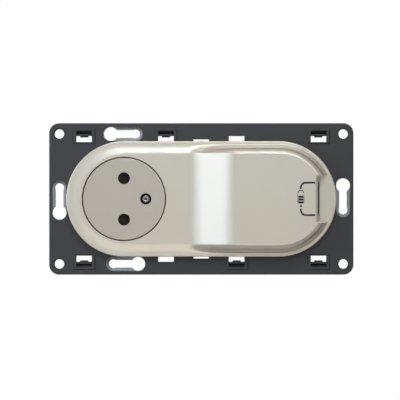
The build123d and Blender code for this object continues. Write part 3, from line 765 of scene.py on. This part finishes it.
def alike(vector: Vec3, count: int) -> np.ndarray:
    """Repeats one vector, n by 3."""
    return np.tile(vector, (count, 1))


# Sub-assemblies


def dress(node: bpy.types.Object, material: bpy.types.Material) -> None:
    """Gives a CAD node its finish and smooth shading between its creases.

    Args:
        node: The node's object.
        material: Its finish.
    """
    mesh = node.data
    mesh.materials.clear()
    mesh.materials.append(material)
    mesh.polygons.foreach_set("use_smooth", np.full(len(mesh.polygons), True))
    weld = node.modifiers.new("weld", "WELD")
    weld.merge_threshold = WELD_GAP
    split = node.modifiers.new("creases", "EDGE_SPLIT")
    split.split_angle = math.radians(CREASE)
    normals = node.modifiers.new("normals", "WEIGHTED_NORMAL")
    normals.mode = "FACE_AREA_WITH_ANGLE"


class SubAssembly(ABC):
    """A group of CAD solids with the finish of each."""

    @abstractmethod
    def looks(self) -> dict[str, Look]:
        """Gives the finish of each CAD node.

        Returns:
            Finishes by the node's name.
        """

    def dress(self, nodes: Mapping[str, bpy.types.Object], finishes: Finishes) -> None:
        """Gives each solid, found among the CAD nodes by its name, its finish."""
        for name, look in self.looks().items():
            dress(nodes[name], finishes[look])


@dataclass
class Mounting(SubAssembly):
    """Support frame and steel plate."""

    def looks(self) -> dict[str, Look]:
        """Gives the finish of each CAD node by the node's name."""
        return {"support_frame": Look.FRAME_PLASTIC, "fixing_plate": Look.PLATE_ZINC}


@dataclass
class FrontCover(SubAssembly):
    """Lacquered cover and the charging sign printed on its platform; sizes in millimetres.

    The sign is a bracket whose two arms lead to the port and, in the bracket's back, a battery of
    three bars between two fine side lines, with a cap above it and a dot below.
    """

    ink: float = 0.03
    arm_line: float = 0.8
    arm_end_x: float = 51.75
    arm_z: float = 7.37
    bend_start_x: float = 47.2
    bend_w: float = 2.05
    bend_h: float = 2.9
    bend_steps: int = 24
    battery_x: float = 45.25
    bar_w: float = 2.35
    bar_h: float = 0.92
    bar_z: tuple[float, ...] = (0.95, -0.28, -1.55)
    cap_line: float = 0.4
    cap_foot_w: float = 2.6
    cap_foot_z: float = 2.75
    cap_top_w: float = 1.4
    cap_top_z: float = 3.85
    side_line: float = 0.18
    side_x: float = 1.4
    side_foot_z: float = -2.2
    dot_z: float = -3.26
    dot_r: float = 0.5
    dot_sides: int = 32

    def looks(self) -> dict[str, Look]:
        """Gives the finish of each CAD node by the node's name."""
        return {"front_cover": Look.TITANIUM_LACQUER}

    def _arm(self, side: float) -> np.ndarray:
        """Path of one arm: straight from the port, then a quarter of an ellipse into the back.

        Args:
            side: +1 for the upper arm, -1 for the lower one.

        Returns:
            X and Z in millimetres, n by 2.
        """
        turn = np.linspace(0.0, math.pi / 2, self.bend_steps)
        bend_x = self.bend_start_x - self.bend_w * np.sin(turn)
        bend_z = self.arm_z - self.bend_h * (1.0 - np.cos(turn))
        x = np.concatenate([[self.arm_end_x], bend_x])
        z = np.concatenate([[self.arm_z], bend_z])
        return np.stack([x, side * z], axis=-1)

    def _paths(self) -> list[tuple[np.ndarray, float]]:
        """Lays out the strokes: two arms, three bars, the cap and the two side lines.

        Returns:
            Each stroke's path as X and Z, n by 2, and its width, in millimetres.
        """
        middle, bar = self.battery_x, self.bar_w / 2
        foot, top = self.cap_foot_w / 2, self.cap_top_w / 2
        cap = [
            [middle - foot, self.cap_foot_z],
            [middle - top, self.cap_top_z],
            [middle + top, self.cap_top_z],
            [middle + foot, self.cap_foot_z],
        ]
        paths = [(self._arm(side), self.arm_line) for side in (1.0, -1.0)]
        paths += [
            (np.array([[middle - bar, z], [middle + bar, z]]), self.bar_h) for z in self.bar_z
        ]
        paths.append((np.array(cap), self.cap_line))
        paths += [
            (np.array([[x, self.cap_foot_z], [x, self.side_foot_z]]), self.side_line)
            for x in (middle - self.side_x, middle + self.side_x)
        ]
        return paths

    def _stroke(self, points: np.ndarray, width: float, face: float) -> Surface:
        """A flat stroke of ink: a thin rectangle carried along a path on the platform.

        The rectangle's first coordinate lies across the path, in the plane of the platform, and its
        second stands on the platform.

        Args:
            points: Path as X and Z in millimetres, n by 2.
            width: Width of the stroke in millimetres.
            face: Y of the platform in metres.

        Returns:
            The closed stroke.
        """
        x, z = points.T * MM
        path = np.stack([x, np.full(len(points), face), z], axis=-1)
        front = alike((0.0, -1.0, 0.0), len(path))
        section = strip(width * MM / 2, self.ink * MM)
        return swept(path, np.cross(headings(path), front), front, section)

    def _dot(self, face: float) -> Surface:
        """The dot: a circle carried through the thickness of the ink.

        Args:
            face: Y of the platform in metres.

        Returns:
            The closed dot.
        """
        centre = np.array([self.battery_x * MM, face, self.dot_z * MM])
        ink = np.array([0.0, self.ink * MM, 0.0])
        ends = np.stack([centre + ink, centre - ink])
        section = ring(self.dot_sides, self.dot_r * MM)
        return swept(ends, alike((1.0, 0.0, 0.0), 2), alike((0.0, 0.0, 1.0), 2), section)

    def sign(self, finishes: Finishes) -> bpy.types.Object:
        """Prints the charging sign.

        Args:
            finishes: The finishes.

        Returns:
            The ink as one piece.
        """
        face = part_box("front_cover")[0].y
        strokes = [self._stroke(path, width, face) for path, width in self._paths()]
        ink = Surface.joined([*strokes, self._dot(face)])
        made = ink.piece("charging_sign", finishes[Look.SIGN_INK], smooth=False)
        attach(made, Body.HOUSING.value)
        return made


@dataclass
class Outlet(SubAssembly):
    """Sinking disc, shutter, springs, contacts and housing; sizes in millimetres."""

    coil_radius: float = 16.6
    wire: float = 1.0
    turns: float = 5.0
    steps_per_turn: int = 72
    wire_sides: int = 14
    disc_travel: float = 15.0
    leaf: float = 0.3
    leaf_steps: int = 48
    shutter_travel: float = 6.25

    def looks(self) -> dict[str, Look]:
        """Gives the finish of each CAD node.

        Returns:
            Finishes by the node's name.
        """
        return {
            "socket_disc": Look.DISC_LACQUER,
            "shutter": Look.SHUTTER_PLASTIC,
            "shutter_retainer": Look.SHUTTER_PLASTIC,
            "socket_body": Look.HOUSING_PLASTIC,
            "socket_base": Look.HOUSING_PLASTIC,
            "socket_rear_cover": Look.HOUSING_PLASTIC,
            "line_contact": Look.CONTACT_BRASS,
            "neutral_contact": Look.CONTACT_BRASS,
            "earth_strap": Look.CONTACT_BRASS,
            "terminal_cages": Look.ZINC_STEEL,
            "terminal_screws": Look.ZINC_STEEL,
            "cover_screws": Look.ZINC_STEEL,
        }

    def dress(self, nodes: Mapping[str, bpy.types.Object], finishes: Finishes) -> None:
        """Finishes the outlet's solids and the earth pin, whose finish follows its axis and tip.

        Args:
            nodes: The CAD nodes by name.
            finishes: The finishes.
        """
        super().dress(nodes, finishes)
        low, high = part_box("earth_pin")
        # The pin's tip gets painted shade in its dimple and on its shoulder.
        pin = PinTip(
            "pin_nickel",
            srgb(190, 182, 170),
            roughness=0.3,
            metallic=1.0,
            spangle=1200.0,
            centre=((low.x + high.x) / 2, (low.z + high.z) / 2),
            front=low.y,
        )
        dress(nodes["earth_pin"], pin.material())

    def return_spring(self, finishes: Finishes) -> bpy.types.Object:
        """Coil of round wire: a circle of the wire's radius carried along a helix.

        The helix about the gang's axis is (c + R cos t, y0 - p t, R sin t), with the radial
        direction as one axis of the section and the product of tangent and radius as the other.

        Args:
            finishes: The finishes.

        Returns:
            The spring.
        """
        low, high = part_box("disc_spring")
        centre_x = (low.x + high.x) / 2
        steps = int(self.turns * self.steps_per_turn)
        turn = np.linspace(0.0, FULL_TURN * self.turns, steps + 1)
        radius = self.coil_radius * MM
        half = self.wire * MM / 2
        height = high.y - low.y
        y = high.y - half - (height - 2 * half) * turn / turn[-1]
        radial = spokes(turn)
        path = np.stack([centre_x + radius * radial[:, 0], y, radius * radial[:, 2]], axis=-1)
        up = np.cross(headings(path), radial)
        coil = swept(path, radial, up, ring(self.wire_sides, half))
        made = coil.piece("return_spring", finishes[Look.SPRING_STEEL])
        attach(made, Body.HOUSING.value)
        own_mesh(made)
        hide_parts("disc_spring")
        return made

    def shutter_leaf(self, finishes: Finishes) -> bpy.types.Object:
        """Bowed leaf: a rectangle of the strip's thickness and width carried along an arc.

        The arc is (c + R cos t, y, R sin t) for t from -a to a, with its crown against the shutter
        and its feet, where cos a = (foot - c) / R, against the pegs of the disc.

        Args:
            finishes: The finishes.

        Returns:
            The leaf.
        """
        low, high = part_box("shutter_spring")
        half = self.leaf * MM / 2
        radius = (high.z - low.z) / 2 - half
        centre_x = high.x - half - radius
        reach = math.acos((low.x + half - centre_x) / radius)
        radial = spokes(np.linspace(-reach, reach, self.leaf_steps))
        middle = np.array([centre_x, (low.y + high.y) / 2, 0.0])
        depth = alike((0.0, 1.0, 0.0), self.leaf_steps)
        bow = swept(middle + radius * radial, radial, depth, strip(half, (high.y - low.y) / 2))
        made = bow.piece("shutter_leaf", finishes[Look.SPRING_STEEL])
        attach(made, Body.DISC.value)
        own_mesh(made)
        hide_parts("shutter_spring")
        return made


@dataclass
class Charger(SubAssembly):
    """Charger housing, board and port."""

    def looks(self) -> dict[str, Look]:
        """Gives the finish of each CAD node.

        Returns:
            Finishes by the node's name.
        """
        return {
            "charger_body": Look.HOUSING_PLASTIC,
            "charger_base": Look.HOUSING_PLASTIC,
            "charger_rear_cover": Look.HOUSING_PLASTIC,
            "charger_board": Look.BOARD_LAMINATE,
            "charger_tabs": Look.CONTACT_BRASS,
            "transformer_core": Look.FERRITE,
            "transformer_coil": Look.COPPER_WINDING,
            "bulk_capacitors": Look.CAPACITOR_SLEEVE,
            "usb_shell": Look.NICKEL,
            # Black bezel: its black also stands in for the shade in the gap round the port.
            "usb_bezel": Look.SHUTTER_PLASTIC,
            "usb_tongue": Look.SHUTTER_PLASTIC,
            "usb_contacts": Look.CONTACT_BRASS,
        }


# Studio


def aim(thing: bpy.types.Object, target: Vec3) -> None:
    """Turns a lamp or camera so that its -Z axis meets the target, with Z of the scene upwards."""
    way = Vector(target) - thing.location
    thing.rotation_euler = way.to_track_quat("-Z", "Y").to_euler()


@dataclass(frozen=True)
class Lamp:
    """A soft rectangular lamp that looks at the object; metres and watts."""

    name: str
    place: Vec3
    size: Pair
    power: float
    color: Rgb = (1.0, 1.0, 1.0)

    def hang(self, card: bool) -> None:
        """Hangs the lamp.

        Args:
            card: Whether it is a card, which shows in gloss but doesn't light matt surfaces.
        """
        data = bpy.data.lights.new(self.name, "AREA")
        data.shape = "RECTANGLE"
        data.size, data.size_y = self.size
        data.energy = self.power
        data.color = self.color
        made = bpy.data.objects.new(self.name, data)
        made.location = self.place
        made.visible_diffuse = not card
        bpy.context.scene.collection.objects.link(made)
        aim(made, MIDDLE)


@dataclass
class Studio:
    """Camera at the photograph's angle, soft lamps, pale floor and white surround; metres.

    The cards draw the highlights: the first three fade the light on the ramp from full to faint,
    the next three light the upper edges, and the last one the lower edges.
    """

    distance: float = 1.1
    frame_width: float = 0.1845
    sensor: float = 36.0
    clip_start: float = 0.01
    look_x: float = -0.0006
    look_z: float = -0.0005
    plate_front: float = -0.0034
    floor_z: float = -0.32
    floor_x: Pair = (-0.8, 0.8)
    floor_y: Pair = (-0.45, 0.45)
    floor_color: Rgb = srgb(236, 236, 234)
    floor_roughness: float = 0.6
    surround: float = 0.06
    lamps: tuple[Lamp, ...] = (
        Lamp("top_key", (0.08, -0.92, 0.45), (0.55, 0.28), 2.4, (0.94, 0.98, 1.0)),
        Lamp("overhead", (0.0, -0.10, 0.95), (0.9, 0.22), 2.7, (1.0, 0.97, 0.93)),
        Lamp("left_fill", (-0.32, -0.30, 0.15), (0.2, 0.2), 0.46, (0.95, 0.90, 1.0)),
        Lamp("rear_fill", (0.0, 0.95, 0.30), (0.9, 0.5), 5.0),
    )
    cards: tuple[Lamp, ...] = (
        Lamp("left_card", (-0.677, -0.273, 0.04), (0.474, 0.60), 4.0, (0.69, 0.84, 1.0)),
        Lamp("halo_card", (-0.535, -0.595, 0.04), (0.225, 0.60), 0.98, (0.56, 0.79, 1.0)),
        Lamp("edge_card", (-0.373, -0.764, 0.04), (0.239, 0.60), 0.36, (0.60, 0.81, 1.0)),
        Lamp("top_card", (0.12, -0.93, 0.40), (0.62, 0.46), 3.4, (0.62, 0.83, 1.0)),
        Lamp("crown_card", (0.10, -0.72, 0.66), (0.62, 0.40), 3.0, (0.80, 0.90, 1.0)),
        Lamp("brow_card", (0.10, -0.42, 0.885), (0.62, 0.363), 1.8, (1.0, 0.85, 0.60)),
        Lamp("low_card", (0.0, -0.98, -0.36), (0.8, 0.4), 2.75, (0.96, 0.98, 0.94)),
    )

    def build(self) -> None:
        """Sets up the whole studio."""
        scene = bpy.context.scene
        scene.view_settings.view_transform = "Standard"
        self._camera(scene)
        for lamp in self.lamps:
            lamp.hang(card=False)
        for lamp in self.cards:
            lamp.hang(card=True)
        self._floor()
        self._world(scene)

    def _camera(self, scene: bpy.types.Scene) -> None:
        """Places the camera square to the front, far enough for a flat view.

        Args:
            scene: The scene that gets the camera.
        """
        data = bpy.data.cameras.new("camera")
        data.sensor_width = self.sensor
        data.lens = self.sensor * self.distance / self.frame_width
        data.clip_start = self.clip_start
        made = bpy.data.objects.new("camera", data)
        made.location = (self.look_x, self.plate_front - self.distance, self.look_z)
        scene.collection.objects.link(made)
        aim(made, (self.look_x, 0.0, self.look_z))
        scene.camera = made

    def _floor(self) -> None:
        """Lays a pale floor under the object, below the photograph's frame."""
        (x0, x1), (y0, y1) = self.floor_x, self.floor_y
        corners = np.array([[x0, y0], [x1, y0], [x1, y1], [x0, y1]])
        points = np.column_stack([corners, np.full(len(corners), self.floor_z)])
        pale = FloorPaint("floor_paint", self.floor_color, self.floor_roughness).material()
        floor = Surface(points, [[0, 1, 2, 3]]).piece("floor", pale, smooth=False)

    def _world(self, scene: bpy.types.Scene) -> None:
        """Makes the surround white to the camera, to reflections and through glass, and soft else.

        Args:
            scene: The scene that gets the world.
        """
        world = bpy.data.worlds.new("surround")
        scene.world = world
        world.use_nodes = True
        graph = Graph(world.node_tree)
        strength = graph.seen() * (1.0 - self.surround) + self.surround
        shade = graph.add("ShaderNodeBackground", None, {"Color": WHITE, "Strength": strength})
        graph.add("ShaderNodeOutputWorld", None, {"Surface": shade})


def main() -> None:
    """Loads the frame, builds and dresses each sub-assembly and sets up the studio."""
    logging.basicConfig(level=logging.INFO, format="%(name)s: %(message)s")
    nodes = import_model()["nodes"]
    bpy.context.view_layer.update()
    finishes = Finishes()
    cover, outlet = FrontCover(), Outlet()
    for part in (Mounting(), cover, outlet, Charger()):
        part.dress(nodes, finishes)
        LOG.info("dressed %s", type(part).__name__)
    pieces = (cover.sign(finishes), outlet.return_spring(finishes), outlet.shutter_leaf(finishes))
    for piece in pieces:
        LOG.info("made %s", piece.name)
    Studio().build()


if __name__ == "__main__":
    main()
